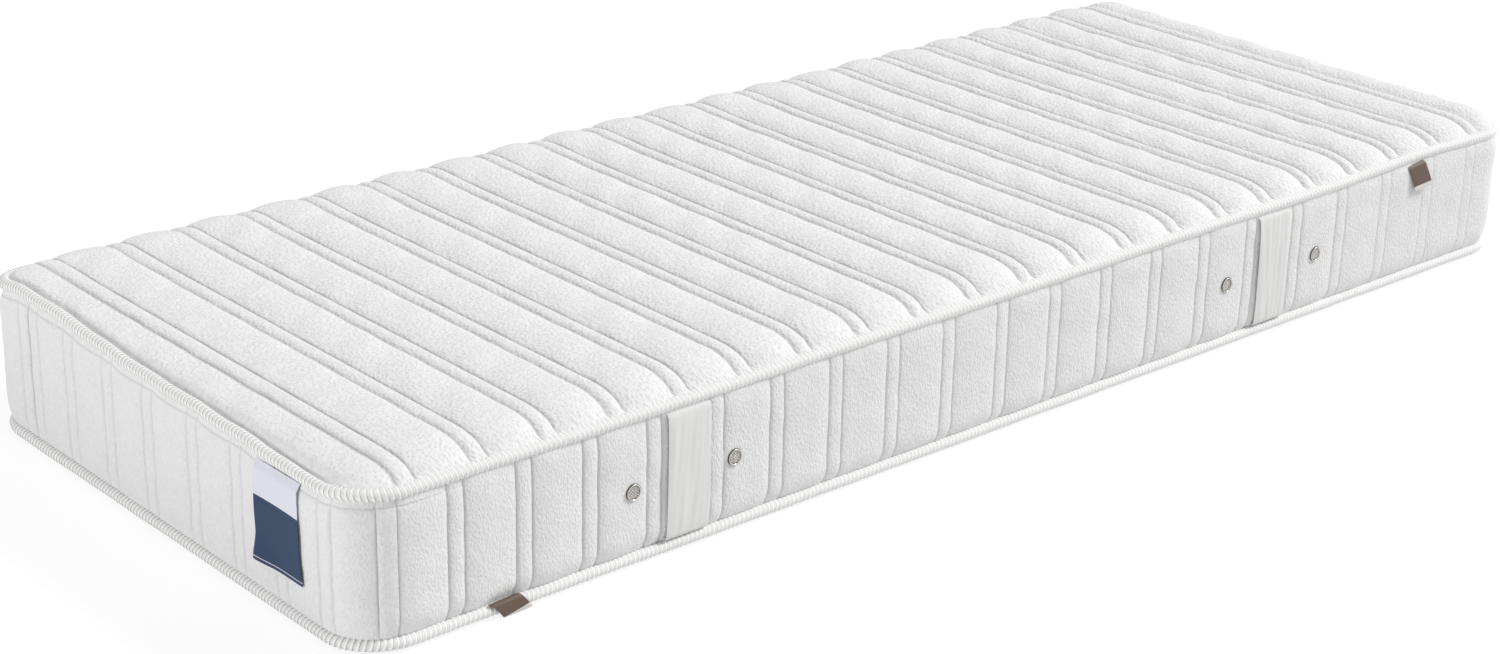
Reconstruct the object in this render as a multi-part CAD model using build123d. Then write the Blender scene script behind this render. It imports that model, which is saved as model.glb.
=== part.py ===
# Single-size memory foam mattress with a quilted cover, built layer by layer.
# Millimetres, +Z up. X runs along the length (head at +X), the front long side is at -Y.
# The origin is the middle of the underside. Every cover piece is a section drawn as
# (inset from the outline, height) and carried round the rounded outline.

import os
from math import atan2, cos, sin, sqrt

from build123d import *

# Outline over the binding tape
length = 2000
width = 800
corner_radius = 70

# How far sections stop short of the corner centres, and cutters run past what they cut
section_margin = 1
cutter_margin = 1

# Heights: the bottom panel rests on the floor, the top panel is crowned
bottom_panel_height = 9
seam_gap = 2
border_height = 170
top_panel_height = 27

# Binding tape: a round bead with a tongue caught between panel and border
bead_radius = 7
bead_clearance = 0.3

# Panels: cloth over wadding over a thin backing, with a rolled shoulder at the edge
panel_inset = 7
ticking_thickness = 2
backing_thickness = 1
ply_gap = 0.2
top_shoulder = 60
top_edge_radius = 16
bottom_shoulder = 14
bottom_edge_radius = 5

# Border: barrel shaped, drawn in at both seams
border_thickness = 18
border_draw_in = 12.5
border_curve_height = 29

# Foam block inside the border, from the base upwards
foam_clearance = 0.5
base_foam_height = 30
memory_foam_height = 55

# Zone cuts across the top of the core, under the hips and the shoulders
zone_first_cut_x = (-180, 470)
zone_cut_count = 7
zone_cut_pitch = 36
zone_cut_width = 4
zone_cut_depth = 22

# Handles: a cloth band on each long side at two places
handle_x = {"foot": -554, "head": 457}
handle_width = 62
handle_thickness = 1.6
handle_standoff = 7.5
grip_length = 86

# Vents: rim with a barrel through the border, mesh disc and clinch washer
vent_x = (-636, -489, 366, 550)
vent_drop = 2
vent_rim_radius = 10.2
vent_rim_height = 1.6
vent_barrel_radius = 8
vent_wall = 1.2
vent_mouth_radius = 6
vent_lip = 0.4
vent_clearance = 0.3
mesh_thickness = 0.6
mesh_hole_radius = 0.7
mesh_pitch = 2.2
washer_radius = 12
washer_thickness = 1.2
clinch_radius = 9.8
clinch_thickness = 0.8
pocket_radius = 14
air_channel_radius = 7.5

# Label on the foot end and the two tags on the front
flap_thickness = 1.0
flap_standoff = 0.3
flap_root_inset = 4.5
flap_bend_drop = 8.3
label_from_front = 145
label_width = 89
label_length = 116
top_tag_x = 766
top_tag_width = 38
top_tag_length = 42
bottom_tag_x = -812
bottom_tag_width = 40
bottom_tag_foot = 1.5
bottom_tag_standoff = 0.8
bottom_tag_bend_drop = 3.2

# Heights and insets that follow from the sizes above
border_z0 = bottom_panel_height + seam_gap
border_z1 = border_z0 + border_height
top_panel_z = border_z1 + seam_gap
foam_z0 = bottom_panel_height
foam_z1 = top_panel_z
bottom_bead_z = bottom_panel_height + seam_gap / 2
top_bead_z = border_z1 + seam_gap / 2
border_mid = (border_z0 + border_z1) / 2
border_radius = (border_curve_height**2 + border_draw_in**2) / (2 * border_draw_in)
foam_inset = border_thickness + foam_clearance
core_z0 = foam_z0 + base_foam_height
core_z1 = foam_z1 - memory_foam_height
vent_z = border_mid - vent_drop
vent_barrel_end = border_thickness + washer_thickness
label_y = -width / 2 + label_from_front
reach = corner_radius - section_margin

# Drawing plane on the front side: u goes inwards, v goes up, carried along +X first
section_plane = Plane(origin=(0, -width / 2, 0), x_dir=(0, 1, 0), z_dir=(1, 0, 0))


def outline_wire(inset):
    """Closed rounded rectangle at a given inset, starting at the middle of the front."""
    a = length / 2 - inset
    b = width / 2 - inset
    r = corner_radius - inset
    k = r * (1 - sqrt(0.5))
    return Wire(
        [
            Line((0, -b), (a - r, -b)),
            ThreePointArc((a - r, -b), (a - k, -b + k), (a, -b + r)),
            Line((a, -b + r), (a, b - r)),
            ThreePointArc((a, b - r), (a - k, b - k), (a - r, b)),
            Line((a - r, b), (-a + r, b)),
            ThreePointArc((-a + r, b), (-a + k, b - k), (-a, b - r)),
            Line((-a, b - r), (-a, -b + r)),
            ThreePointArc((-a, -b + r), (-a + k, -b + k), (-a + r, -b)),
            Line((-a + r, -b), (0, -b)),
        ]
    )


def slab(inset, z0, z1):
    """Flat slab with the outline's shape between two heights."""
    face = make_face(outline_wire(inset))
    return Pos(0, 0, z0) * extrude(face, z1 - z0, dir=(0, 0, 1))


def around(profile):
    """Ring made by carrying a section round the outline."""
    return sweep(section_plane * profile, path=outline_wire(0))


def arc_about(centre, radius, start, end):
    """Arc about a centre from one angle to another, by its middle point."""
    points = []
    for angle in (start, (start + end) / 2, end):
        points.append((centre[0] + radius * cos(angle), centre[1] + radius * sin(angle)))
    return ThreePointArc(*points)


def shoulder_curve(rise, shoulder, edge_radius, offset):
    """Two tangent arcs from the panel's foot up to its flat top, offset inwards."""
    big = ((shoulder - edge_radius) ** 2 + rise**2 - edge_radius**2) / (2 * (rise - edge_radius))
    small_centre = (panel_inset + edge_radius, 0)
    big_centre = (panel_inset + shoulder, rise - big)
    turn = atan2(small_centre[1] - big_centre[1], small_centre[0] - big_centre[0])
    lower = arc_about(small_centre, edge_radius - offset, 2 * atan2(1, 0), turn)
    upper = arc_about(big_centre, big - offset, turn, atan2(1, 0))
    return lower, upper


def panel_section(rise, shoulder, edge_radius, offset):
    """Section of a panel's rolled edge, from the foot inwards to the flat part."""
    lower, upper = shoulder_curve(rise, shoulder, edge_radius, offset)
    foot = (panel_inset + offset, 0)
    crest = (panel_inset + shoulder, rise - offset)
    inner_top = (reach, rise - offset)
    inner_foot = (reach, 0)
    return make_face(
        [lower, upper, Line(crest, inner_top), Line(inner_top, inner_foot), Line(inner_foot, foot)]
    )


def panel_solid(rise, shoulder, edge_radius, offset):
    """Whole panel standing on height 0: rolled edge ring plus the flat middle."""
    ring = around(panel_section(rise, shoulder, edge_radius, offset))
    return ring + slab(reach, 0, rise - offset)


def panel_layers(rise, shoulder, edge_radius):
    """Cloth, wadding and backing of one quilted panel standing on height 0."""
    shape = (rise, shoulder, edge_radius)
    cloth = panel_solid(*shape, 0) - panel_solid(*shape, ticking_thickness)
    core = panel_solid(*shape, ticking_thickness + ply_gap)
    sheet = slab(panel_inset + ticking_thickness + ply_gap, 0, backing_thickness)
    wadding = core - slab(0, -cutter_margin, backing_thickness)
    return cloth, wadding, core & sheet


def border_section(offset, inner):
    """Section of the border between its barrel curve and an upright inner face."""
    low = (border_radius, border_z0 + border_curve_height)
    high = (border_radius, border_z1 - border_curve_height)
    r = border_radius - offset
    turn = atan2(border_curve_height, sqrt(r**2 - border_curve_height**2))
    half_turn = 2 * atan2(1, 0)
    lower = arc_about(low, r, half_turn + turn, half_turn)
    upper = arc_about(high, r, half_turn, half_turn - turn)
    seam = border_radius - r * cos(turn)
    return make_face(
        [
            lower,
            Line((offset, low[1]), (offset, high[1])),
            upper,
            Line((seam, border_z1), (inner, border_z1)),
            Line((inner, border_z1), (inner, border_z0)),
            Line((inner, border_z0), (seam, border_z0)),
        ]
    )


def tape_section(bead_z, panel_face):
    """Bead squeezed between border and panel, with its tongue in the seam."""
    bead = Pos(bead_radius, bead_z) * Circle(bead_radius)
    bead -= border_section(-bead_clearance, reach)
    bead -= panel_face
    tongue_width = border_thickness - bead_radius
    tongue = Pos(bead_radius + tongue_width / 2, bead_z) * Rectangle(tongue_width, seam_gap)
    return bead + tongue


def upright_band(section, x, band_width):
    """Section drawn on the front side as (outwards, height), given a width along X."""
    plane = Plane(origin=(x - band_width / 2, -width / 2, 0), x_dir=(0, -1, 0), z_dir=(-1, 0, 0))
    return extrude(plane * section, band_width, dir=(1, 0, 0))


def seam_valley(inset):
    """Height half way between the border's curve and the bead, at the top seam."""
    run = sqrt(border_radius**2 - (border_radius - inset) ** 2)
    border_z = border_z1 - border_curve_height + run
    bead_z = top_bead_z - sqrt(bead_radius**2 - (bead_radius - inset) ** 2)
    return (border_z + bead_z) / 2


def on_both_sides(solid):
    """The same piece on the front and the back long side."""
    return [solid, mirror(solid, about=Plane.XZ)]


# Quilted panels
top_shape = (top_panel_height, top_shoulder, top_edge_radius)
bottom_shape = (bottom_panel_height, bottom_shoulder, bottom_edge_radius)
top_lift = Pos(0, 0, top_panel_z)
top_ticking, top_wadding, top_backing = [top_lift * s for s in panel_layers(*top_shape)]
bottom_lift = Pos(0, 0, bottom_panel_height)
bottom_ticking, bottom_wadding, bottom_backing = [
    bottom_lift * mirror(s, about=Plane.XY) for s in panel_layers(*bottom_shape)
]

# Border layers, with a hole for every vent barrel
ticking_inner = ticking_thickness
wadding_outer = ticking_thickness + ply_gap
backing_outer = border_thickness - backing_thickness
border_full = around(border_section(0, backing_outer))
border_ticking = border_full - around(border_section(ticking_inner, backing_outer + cutter_margin))
border_wadding = around(border_section(wadding_outer, backing_outer - ply_gap))
border_backing = slab(backing_outer, border_z0, border_z1)
border_backing -= slab(border_thickness, border_z0, border_z1)
vent_hole = Cylinder(vent_barrel_radius + vent_clearance, width * 2, rotation=(90, 0, 0))
for x in vent_x:
    drill = Pos(x, 0, vent_z) * vent_hole
    border_ticking -= drill
    border_wadding -= drill
    border_backing -= drill

# Binding tapes
top_panel_face = Pos(0, top_panel_z) * panel_section(*top_shape, -bead_clearance)
bottom_face = panel_section(*bottom_shape, -bead_clearance)
bottom_panel_face = Pos(0, bottom_panel_height) * mirror(bottom_face, about=Plane.XZ)
top_tape = around(tape_section(top_bead_z, top_panel_face))
bottom_tape = around(tape_section(bottom_bead_z, bottom_panel_face))

# Foam block: base, core with zone cuts and air channels, memory foam on top
base_foam = slab(foam_inset, foam_z0, core_z0)
memory_foam = slab(foam_inset, core_z1, foam_z1)
core_foam = slab(foam_inset, core_z0, core_z1)
for first in zone_first_cut_x:
    for i in range(zone_cut_count):
        cut = Box(zone_cut_width, width, zone_cut_depth * 2)
        core_foam -= Pos(first + i * zone_cut_pitch, 0, core_z1) * cut
pocket_depth = vent_barrel_end + clinch_thickness + vent_clearance
for x in vent_x:
    core_foam -= Pos(x, 0, vent_z) * Cylinder(air_channel_radius, width, rotation=(90, 0, 0))
    pocket = Cylinder(pocket_radius, pocket_depth * 2, rotation=(90, 0, 0))
    core_foam -= Pos(x, -width / 2, vent_z) * pocket
    core_foam -= Pos(x, width / 2, vent_z) * pocket

# One vent, drawn as (radius, depth behind the border face) and turned about its axis
bore = vent_barrel_radius - vent_wall
rim_points = [
    (vent_mouth_radius, -vent_rim_height),
    (vent_rim_radius - vent_rim_height, -vent_rim_height),
    (vent_rim_radius, 0),
    (vent_barrel_radius, 0),
    (vent_barrel_radius, vent_barrel_end),
    (clinch_radius, vent_barrel_end),
    (clinch_radius, vent_barrel_end + clinch_thickness),
    (bore, vent_barrel_end + clinch_thickness),
    (bore, vent_lip),
    (vent_mouth_radius, vent_lip),
]
vent_plane = Plane(origin=(0, -width / 2, vent_z), x_dir=(1, 0, 0), z_dir=(0, 0, 1))
vent_axis = Axis((0, -width / 2, vent_z), (0, 1, 0))
rim = revolve(vent_plane * make_face(Polyline(*rim_points, close=True)), vent_axis)
washer_inner = vent_barrel_radius + vent_clearance
washer = Cylinder(washer_radius, washer_thickness) - Cylinder(washer_inner, washer_thickness)
washer_y = -width / 2 + border_thickness + washer_thickness / 2
washer = Pos(0, washer_y, vent_z) * Rot(90, 0, 0) * washer
mesh = Cylinder(bore - vent_clearance, mesh_thickness)
for i in range(-2, 3):
    for j in range(-2, 3):
        if i * i + j * j < 6:
            hole = Cylinder(mesh_hole_radius, mesh_thickness * 2)
            mesh -= Pos(i * mesh_pitch, j * mesh_pitch, 0) * hole
mesh = Pos(0, -width / 2 + vent_lip + mesh_thickness / 2, vent_z) * Rot(90, 0, 0) * mesh
vent_rims = []
vent_meshes = []
vent_washers = []
for x in vent_x:
    vent_rims += on_both_sides(Pos(x, 0, 0) * rim)
    vent_meshes += on_both_sides(Pos(x, 0, 0) * mesh)
    vent_washers += on_both_sides(Pos(x, 0, 0) * washer)

# Handles: flat grip in the middle, curved ends running into both seams
grip_face = handle_standoff + handle_thickness / 2
turn_radius = grip_face + flap_root_inset
turn_z = seam_valley(flap_root_inset) - turn_radius
half_t = handle_thickness / 2
grip_section = Pos(grip_face, border_mid) * Rectangle(handle_thickness, grip_length)
leg_z = border_mid + grip_length / 2
turn_centre = (-flap_root_inset, turn_z)
quarter = atan2(1, 0)
end_section = make_face(
    [
        Line((grip_face - half_t, leg_z), (grip_face - half_t, turn_z)),
        arc_about(turn_centre, turn_radius - half_t, 0, quarter),
        Line(
            (-flap_root_inset, turn_z + turn_radius - half_t),
            (-flap_root_inset, turn_z + turn_radius + half_t),
        ),
        arc_about(turn_centre, turn_radius + half_t, quarter, 0),
        Line((grip_face + half_t, turn_z), (grip_face + half_t, leg_z)),
        Line((grip_face + half_t, leg_z), (grip_face - half_t, leg_z)),
    ]
)
mid_plane = Plane(origin=(0, 0, border_mid), z_dir=(0, 0, 1))
handle_nodes = {}
for place, x in handle_x.items():
    grip = upright_band(grip_section, x, handle_width)
    upper = upright_band(end_section, x, handle_width)
    lower = mirror(upper, about=mid_plane)
    for side, pieces in (("front", 0), ("back", 1)):
        name = f"handle_{side}_{place}"
        handle_nodes[name + "_grip"] = [on_both_sides(grip)[pieces]]
        handle_nodes[name + "_ends"] = [on_both_sides(upper)[pieces], on_both_sides(lower)[pieces]]


def hanging_flap(flap_length):
    """Section of a flap: round sewn edge in the seam, over a bend, then straight down."""
    t = flap_thickness
    face_out = flap_standoff + t / 2
    root = (-flap_root_inset, seam_valley(flap_root_inset))
    bend = (face_out, root[1] - flap_bend_drop)
    fall = bend[1] - (flap_length - sqrt((bend[0] - root[0]) ** 2 + flap_bend_drop**2))
    run = Polyline(root, bend, (face_out, fall))
    return trace(run, t) + Pos(*root) * Circle(t / 2)


# Label on the foot end, drawn on the front side and turned round to the end
label_turn = Pos(-length / 2, label_y, 0) * Rot(0, 0, -90) * Pos(0, width / 2, 0)
label = label_turn * upright_band(hanging_flap(label_length), 0, label_width)
top_tag = upright_band(hanging_flap(top_tag_length), top_tag_x, top_tag_width)

# Tag at the bottom seam, bent outwards over the bead
valley_low = border_z0 + border_z1 - seam_valley(flap_root_inset)
tag_bend = (bottom_tag_standoff + flap_thickness / 2, valley_low - bottom_tag_bend_drop)
tag_root = (-flap_root_inset, valley_low)
tag_run = Polyline(tag_root, tag_bend, (tag_bend[0], bottom_tag_foot))
tag_section = trace(tag_run, flap_thickness) + Pos(*tag_root) * Circle(flap_thickness / 2)
bottom_tag = upright_band(tag_section, bottom_tag_x, bottom_tag_width)

nodes = {
    "top_panel_ticking": [top_ticking],
    "top_panel_wadding": [top_wadding],
    "top_panel_backing": [top_backing],
    "bottom_panel_ticking": [bottom_ticking],
    "bottom_panel_wadding": [bottom_wadding],
    "bottom_panel_backing": [bottom_backing],
    "border_ticking": [border_ticking],
    "border_wadding": [border_wadding],
    "border_backing": [border_backing],
    "top_binding_tape": [top_tape],
    "bottom_binding_tape": [bottom_tape],
    "memory_foam_layer": [memory_foam],
    "core_foam": [core_foam],
    "base_foam_layer": [base_foam],
    "vent_rims": vent_rims,
    "vent_meshes": vent_meshes,
    "vent_washers": vent_washers,
    "foot_label": [label],
    "top_tape_tag": [top_tag],
    "bottom_tape_tag": [bottom_tag],
}
nodes.update(handle_nodes)

os.makedirs("parts", exist_ok=True)
for name, pieces in nodes.items():
    solids = [s for piece in pieces for s in piece.solids()]
    shape = solids[0] if len(solids) == 1 else Compound(children=solids)
    shape.label = name
    export_step(shape, f"parts/{name}.step")
    print(name, len(solids), round(sum(s.volume for s in solids) / 1000, 1), "cm3")
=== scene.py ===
# %% [markdown]
# # A quilted foam mattress
# The solids of the mattress are already made and packed: foam block, cover layers, handles, vents. This
# lesson gives the cover its looks. Every soft piece is a surface worked out with numpy from the same sizes
# as the solids, so it sits where the solid sits, and the solid stays for collision.

# %% Load the solids and keep their box
import math

import bmesh
import bpy
import numpy as np
from mathutils import Matrix


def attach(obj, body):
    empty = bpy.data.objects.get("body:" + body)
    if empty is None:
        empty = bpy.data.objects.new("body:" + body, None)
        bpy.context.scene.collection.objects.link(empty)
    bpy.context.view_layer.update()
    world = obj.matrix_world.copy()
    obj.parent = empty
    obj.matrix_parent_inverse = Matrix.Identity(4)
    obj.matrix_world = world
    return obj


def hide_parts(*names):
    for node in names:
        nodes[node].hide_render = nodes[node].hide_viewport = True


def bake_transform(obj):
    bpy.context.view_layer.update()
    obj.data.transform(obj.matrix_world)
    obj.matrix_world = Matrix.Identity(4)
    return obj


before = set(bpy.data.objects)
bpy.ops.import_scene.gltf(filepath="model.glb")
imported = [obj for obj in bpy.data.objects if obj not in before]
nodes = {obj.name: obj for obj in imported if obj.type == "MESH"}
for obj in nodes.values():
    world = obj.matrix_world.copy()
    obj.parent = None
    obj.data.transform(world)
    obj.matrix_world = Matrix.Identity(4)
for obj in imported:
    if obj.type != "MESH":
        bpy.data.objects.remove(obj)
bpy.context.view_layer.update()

# %% [markdown]
# ## The camera
# The photograph was taken with a long lens from the near corner, a little above the mattress. The place and
# the focal length were fitted to the two tape lines, and the small roll keeps the horizon as it is there. A
# camera looks along its own -Z, so its matrix holds the right, up and back directions as columns.

# %% Camera fitted to the tape lines
def put_in_scene(thing, right, up, back, place):
    """Links an object; its matrix has its right, up and back directions and its place as columns."""
    bpy.context.scene.collection.objects.link(thing)
    pose = np.eye(4)
    pose[:3] = np.stack([right, up, back, np.array(place, float)], axis=1)
    thing.matrix_world = Matrix(pose.tolist())


image_width_px = 1500
lens_px = 2837.5
camera_place = (-2.4113, -2.5732, 1.4463)
azimuth, elevation, roll = np.radians((-41.7594, 22.3588, 1.3204))
back = np.array((math.sin(azimuth) * math.cos(elevation),
                 -math.cos(azimuth) * math.cos(elevation), math.sin(elevation)))
level = np.array((math.cos(azimuth), math.sin(azimuth), 0.0))
upright = np.cross(back, level)
right = math.cos(roll) * level + math.sin(roll) * upright
up = math.cos(roll) * upright - math.sin(roll) * level
camera_data = bpy.data.cameras.new("camera")
camera_data.sensor_width = 36.0
camera_data.lens = lens_px / image_width_px * camera_data.sensor_width
camera = bpy.data.objects.new("camera", camera_data)
put_in_scene(camera, right, up, back, camera_place)
bpy.context.scene.camera = camera
print("lens", round(camera_data.lens, 2), "mm")

# %% [markdown]
# ## Sizes of the cover
# The main sizes come from the boxes of the solids, in millimetres, so that the cloth sits where they sit. A
# box is rounded to a tenth, because a round bead is a mesh of flat faces and falls a hair short. The seam
# line is where panel, border and tape meet: a rounded rectangle, a bead's radius inside the outline. All
# pieces of the cover are drawn from that line. What a box can't tell is written down: the corner, the
# border's curve, and the rolled edge, which is wider at the foot.

# %% Sizes in millimetres
mm = 0.001  # a millimetre in Blender's metres


def box_of(node_name):
    """Lowest and highest corner of a solid in mm, to a tenth: the least and the greatest of its points."""
    mesh = nodes[node_name].data
    points = np.zeros(3 * len(mesh.vertices), dtype=np.float32)
    mesh.vertices.foreach_get("co", points)
    points = points.reshape(-1, 3).astype(float) / mm
    return np.round(points.min(axis=0), 1).tolist(), np.round(points.max(axis=0), 1).tolist()


(_, _, border_low), (outline_x, outline_y, border_high) = box_of("border_ticking")
(_, _, top_tape_low), (_, _, top_tape_high) = box_of("top_binding_tape")
(_, _, bottom_tape_low), (_, _, bottom_tape_high) = box_of("bottom_binding_tape")
bead_radius = 0.5 * (top_tape_high - top_tape_low)
top_seam_z = 0.5 * (top_tape_low + top_tape_high)
bottom_seam_z = 0.5 * (bottom_tape_low + bottom_tape_high)
seam_half_length, seam_half_width, seam_corner = outline_x - bead_radius, outline_y - bead_radius, 63.0
top_rise = box_of("top_panel_ticking")[1][2] - top_seam_z
border_draw_in, border_curve = 12.5, 29.0  # how far the border curves in at a seam, and over what height
top_shoulder, foot_shoulder = 62.0, 110.0  # width of the rolled edge, and its width at the foot
print("seam line", 2 * seam_half_length, "by", 2 * seam_half_width, "mm, at", bottom_seam_z, top_seam_z)
print("border from", border_low, "to", border_high, "mm, bead radius", bead_radius, "top rise", top_rise)

# %% [markdown]
# Two curves shape most of the cover: a smooth step, which blends one form into another, and a bell, which
# makes a single ridge or groove. Cloth is never quite even, so a sum of random waves adds a soft
# unevenness. The random numbers start from a fixed seed, so every run gives the same mattress.

# %% Curves that many pieces use
rng = np.random.default_rng(7)


def smooth(t):
    """Smooth step: 0 below 0, 1 above 1, and 3t^2 - 2t^3 between."""
    t = np.clip(t, 0.0, 1.0)
    return t * t * (3.0 - 2.0 * t)


def bell(distance, width):
    """Bell curve exp(-(d / w)^2)."""
    return np.exp(-(distance / width) ** 2)


def wander(x, y, wavelength):
    """Soft random relief of about unit height: nine cosine waves in random directions, over root nine."""
    waves = 9
    angle = rng.uniform(0, 2 * np.pi, waves)
    length = wavelength * rng.uniform(0.6, 1.7, waves)
    phase = rng.uniform(0, 2 * np.pi, waves)
    total = np.zeros(np.broadcast(x, y).shape)
    for turn, wave, start in zip(angle, length, phase):
        total += np.cos(2 * np.pi * (x * np.cos(turn) + y * np.sin(turn)) / wave + start)
    return total / np.sqrt(waves)


# %% [markdown]
# ## From arrays to meshes
# A grid of points in rows and columns becomes a mesh of quads. Where the rows or the columns run round in a
# ring, the last joins the first. The faces of a closed piece point outwards when its volume is positive, so
# a piece with a negative volume is turned over.

# %% Mesh helpers
def grid_faces(shape, wrap_u=False, wrap_v=False, first=0):
    """Quads between neighbours of a grid of points; wrap joins the last row or column to the first."""
    index = first + np.arange(shape[0] * shape[1]).reshape(shape)
    if wrap_u:
        index = np.concatenate([index, index[:1]], axis=0)
    if wrap_v:
        index = np.concatenate([index, index[:, :1]], axis=1)
    quads = [index[:-1, :-1], index[1:, :-1], index[1:, 1:], index[:-1, 1:]]
    return np.stack(quads, axis=-1).reshape(-1, 4)


def add_piece(name, points, faces, material, cloth=None, values=None, sharp=None, ring=None):
    """Mesh object from points in mm. cloth is a UV map in mm, kept in metres, and ring the length at which it
    closes; values are point attributes; edges sharper than the given angle in degrees stay hard."""
    mesh = bpy.data.meshes.new(name)
    mesh.from_pydata((np.reshape(points, (-1, 3)) * mm).tolist(), [], [list(f) for f in faces])
    body = bmesh.new()
    body.from_mesh(mesh)
    volume = body.calc_volume(signed=True)
    body.free()
    if volume < 0:
        mesh.flip_normals()
    mesh.polygons.foreach_set("use_smooth", np.ones(len(mesh.polygons), dtype=bool))
    if sharp is not None:
        mesh.set_sharp_from_angle(angle=math.radians(sharp))
    corner = np.zeros(len(mesh.loops), dtype=np.int32)
    mesh.loops.foreach_get("vertex_index", corner)
    if cloth is not None:
        layer = mesh.uv_layers.new(name="cloth")
        uv = (np.reshape(cloth, (-1, 2)) * mm)[corner]
        if ring is not None:
            along = uv[:, 0].reshape(-1, 4)
            behind = along.max(axis=1, keepdims=True) - along > 0.5 * mm * ring
            uv[:, 0] = (along + behind * mm * ring).ravel()
        layer.data.foreach_set("uv", uv.astype(np.float32).ravel())
    for key, value in (values or {}).items():
        attribute = mesh.attributes.new(key, "FLOAT", "POINT")
        attribute.data.foreach_set("value", np.ravel(value).astype(np.float32))
    mesh.materials.append(material)
    piece = bpy.data.objects.new(name, mesh)
    bpy.context.scene.collection.objects.link(piece)
    print(name, len(mesh.polygons), "faces,", round(volume * 1e6), "ml")
    return piece


def normals_of(grid):
    """Unit normals of a grid surface: cross product of its two difference directions."""
    normal = np.cross(np.gradient(grid, axis=0), np.gradient(grid, axis=1))
    return normal / np.maximum(np.linalg.norm(normal, axis=-1, keepdims=True), 1e-9)


# %% [markdown]
# ## Materials
# White textiles differ mostly in how they scatter light over small relief, so each gets its own weave as
# bump and a slight change of tone, while the base colours stay close together. Pictures of cloth would do
# too, but a computed pattern stays sharp from near and far. One small function adds a node with its
# settings and links. Colours are written as sRGB hex and turned to linear.

# %% Colour and node helpers
mix_a, mix_b, mix_out = 6, 7, 2  # a Mix node's two colours and its mixed colour, by socket number


def colour(hex_code):
    """sRGB hex to linear RGBA, by the sRGB curve."""
    parts = np.array([int(hex_code[i:i + 2], 16) for i in (1, 3, 5)]) / 255
    linear = np.where(parts <= 0.04045, parts / 12.92, ((parts + 0.055) / 1.055) ** 2.4)
    return (*linear.tolist(), 1.0)


def new_material(name):
    """Node material with a Principled shader joined to its output."""
    material = bpy.data.materials.new(name)
    material.use_nodes = True
    return material, material.node_tree, material.node_tree.nodes["Principled BSDF"]


def set_inputs(node, **values):
    """Sets input values of a node by name, with underscores for the spaces."""
    for key, value in values.items():
        node.inputs[key.replace("_", " ")].default_value = value


def add_node(tree, kind, links=None, numbered=None, **settings):
    """Adds a node: links are input: (node, output), numbered are values of inputs by number, and settings
    are its properties or the values of named inputs."""
    node = tree.nodes.new(kind)
    for key, value in settings.items():
        if hasattr(node, key):
            setattr(node, key, value)
        else:
            set_inputs(node, **{key: value})
    for number, value in (numbered or {}).items():
        node.inputs[number].default_value = value
    for key, (source, output) in (links or {}).items():
        tree.links.new(source.outputs[output], node.inputs[key])
    return node


# %% [markdown]
# The panels and the border are a knitted jersey: soft, matt and slightly fuzzy. Its loops are about 1.5 mm
# apart, too fine to show from here, so the knit is drawn as a pebbled relief of about 4 mm with a finer
# grain in it, and its hollows get a little painted shade. The pattern follows the cloth through the UV map,
# which is laid out in metres, so a scale is 1000 over the size in millimetres. Along the sewn grooves the
# cloth gets painted shade.

# %% Knitted jersey
def jersey(name, base, shade, pebble_mm, stretch, depth):
    """White knitted jersey: pebbled bump, painted shade in its hollows, a slow change of tone and painted
    shade along the sewn grooves.
    """
    grain_mm, cloud_mm = 3.2, 45
    material, tree, shader = new_material(name)
    uv = add_node(tree, "ShaderNodeUVMap", uv_map="cloth")
    laid = add_node(tree, "ShaderNodeMapping", {"Vector": (uv, "UV")}, Scale=(stretch, 1.0, 1.0))
    pebble = add_node(tree, "ShaderNodeTexVoronoi", {"Vector": (laid, "Vector")}, feature="SMOOTH_F1",
                      Scale=1000 / pebble_mm, Smoothness=0.6)
    grain = add_node(tree, "ShaderNodeTexNoise", {"Vector": (laid, "Vector")},
                     Scale=1000 / grain_mm, Detail=3.0)
    slow = add_node(tree, "ShaderNodeTexNoise", {"Vector": (uv, "UV")}, Scale=1000 / cloud_mm, Detail=2.0)
    relief = add_node(tree, "ShaderNodeMath", {0: (pebble, "Distance"), 1: (grain, "Fac")}, operation="ADD")
    bump = add_node(tree, "ShaderNodeBump", {"Height": (relief, "Value")}, Strength=depth, Distance=2 * mm)
    # Painted shade: the low spots of the knit relief get the darker colour.
    hollow_shade = add_node(tree, "ShaderNodeMapRange", {"Value": (relief, "Value")}, From_Min=0.55, From_Max=1.15)
    cloud = add_node(tree, "ShaderNodeMapRange", {"Value": (slow, "Fac")},
                     From_Min=0.3, From_Max=0.7, To_Max=0.12)
    tone = add_node(tree, "ShaderNodeMath", {0: (hollow_shade, "Result"), 2: (cloud, "Result")}, {1: 0.7},
                    operation="MULTIPLY_ADD")
    # Painted shade along the sewn grooves, from a value stored on the points.
    groove_shade_value = add_node(tree, "ShaderNodeAttribute", attribute_name="groove_shade")
    knit = add_node(tree, "ShaderNodeMix", {"Factor": (tone, "Value")},
                    {mix_a: colour(shade), mix_b: colour(base)}, data_type="RGBA")
    # The grooves' painted shade darkens the knit towards a grey.
    line = add_node(tree, "ShaderNodeMix", {"Factor": (groove_shade_value, "Fac"), mix_a: (knit, mix_out)},
                    {mix_b: colour("#cfcfcf")}, data_type="RGBA")
    tree.links.new(line.outputs[mix_out], shader.inputs["Base Color"])
    tree.links.new(bump.outputs["Normal"], shader.inputs["Normal"])
    set_inputs(shader, Roughness=0.92, Specular_IOR_Level=0.2, Sheen_Weight=0.12, Sheen_Roughness=0.6)
    return material


top_jersey = jersey("knitted jersey, top panel", "#f3f3f3", "#e4e4e5", 4.2, 1.0, 0.6)
border_jersey = jersey("knitted jersey, border", "#eeeeee", "#e4e4e4", 4.0, 1.6, 0.4)
print("jerseys:", top_jersey.name, "and", border_jersey.name)
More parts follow.
